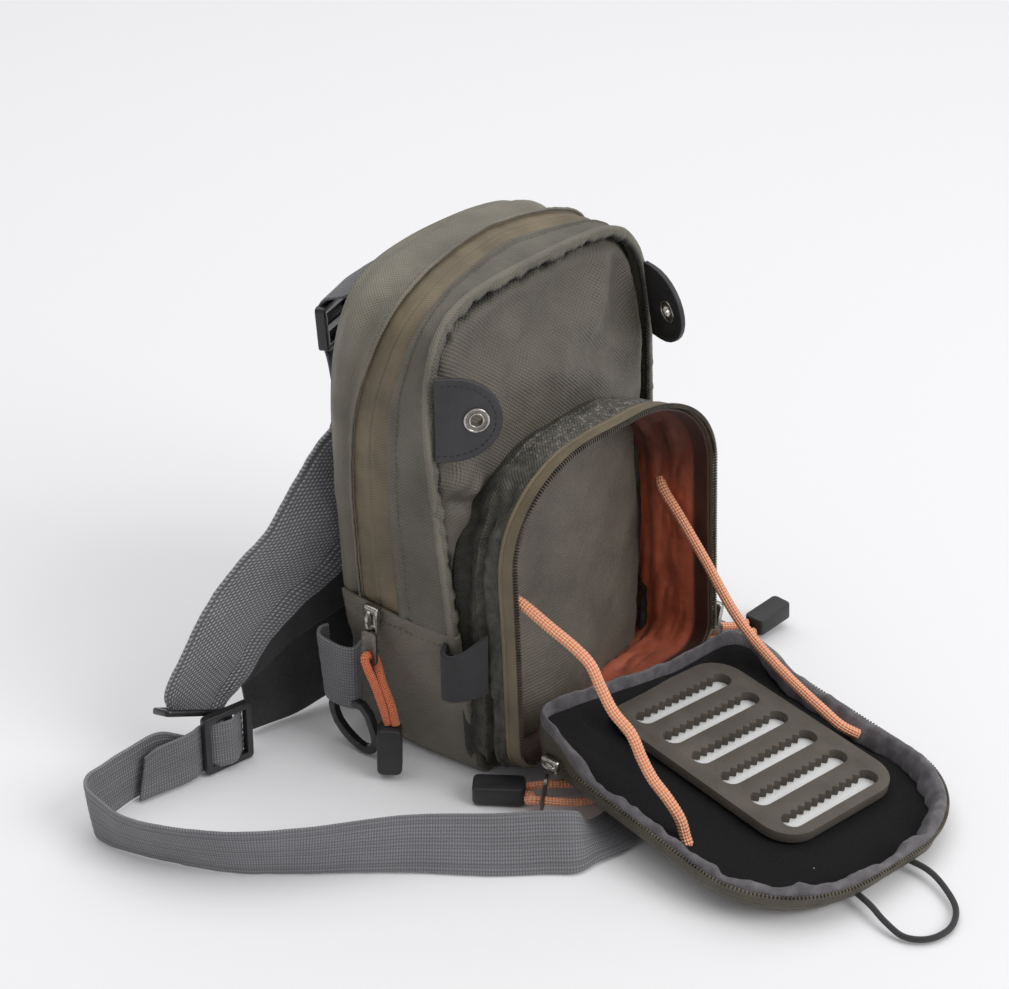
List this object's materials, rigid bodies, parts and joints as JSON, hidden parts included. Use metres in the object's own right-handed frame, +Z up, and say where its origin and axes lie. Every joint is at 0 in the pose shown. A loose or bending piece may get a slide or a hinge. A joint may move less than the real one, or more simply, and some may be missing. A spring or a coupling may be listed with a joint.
{
  "type": "fishing chest pack",
  "caption": "Upright zipped chest pack with a front pocket folded open to a lid with a slotted foam fly patch, tether cords, shoulder straps and waist webbing.",
  "frame": {"origin": "middle of the flat base of the main compartment, on the surface that the pack stands on", "axes": "+Z is up, the folded-open pocket faces -Y, +X is to the right as seen from in front of the pocket"},
  "size_m": [0.3348, 0.3348, 0.2304],
  "materials": {
    "shell": "olive grey honeycomb nylon",
    "tape": "brown woven zip tape",
    "teeth": "brown nylon coil teeth",
    "lining": "rust orange satin lining",
    "rim": "grey gathered satin",
    "fleece": "black loop fleece",
    "foam": "brown grey closed cell foam",
    "foam_base": "white sheet under the foam",
    "cord": "orange braided cord with dark flecks",
    "elastic": "black elastic cord",
    "tab": "black grained tab",
    "metal": "plated metal",
    "plastic": "black moulded plastic",
    "webbing": "grey ribbed webbing",
    "padding": "black padded mesh"
  },
  "bodies": {
    "root": {"back_panel": "padding", "rear_gusset": "shell", "main_zip_tape": "tape", "front_gusset": "shell", "bottom_gusset": "shell", "front_panel": "shell", "front_piping": "shell", "pocket_gusset": "shell", "pocket_lining": "lining", "pocket_zip_tape": "tape", "pocket_zip_coil": "teeth", "lid_shell": "shell", "lid_wall": "tape", "lid_zip_coil": "teeth", "lid_rim_lining": "rim", "lid_floor": "fleece", "lid_hinge": "shell", "foam_base": "foam_base", "foam_patch": "foam", "tether_left": "cord", "tether_right": "cord", "elastic_loop": "elastic", "main_pull_cord": "cord", "left_pull_cord": "cord", "right_pull_cord": "cord", "shoulder_strap_face": "webbing", "shoulder_strap_pad": "padding", "second_strap_pad": "padding", "waist_webbing": "webbing", "top_webbing": "webbing", "adjuster_webbing": "webbing", "webbing_tail": "webbing", "top_buckle": "plastic", "strap_ring": "plastic", "strap_slider": "plastic", "tool_tab_left": "tab", "tool_tab_right": "tab", "eyelet_left": "metal", "eyelet_right": "metal", "gear_loop": "tab", "hook_loop": "webbing", "snap_hook": "plastic", "main_pull_slider": "metal", "main_pull_tab": "metal", "main_pull_end": "plastic", "left_pull_slider": "metal", "left_pull_tab": "metal", "left_pull_end": "plastic", "right_pull_slider": "metal", "right_pull_tab": "metal", "right_pull_end": "plastic"}
  },
  "joints": []
}
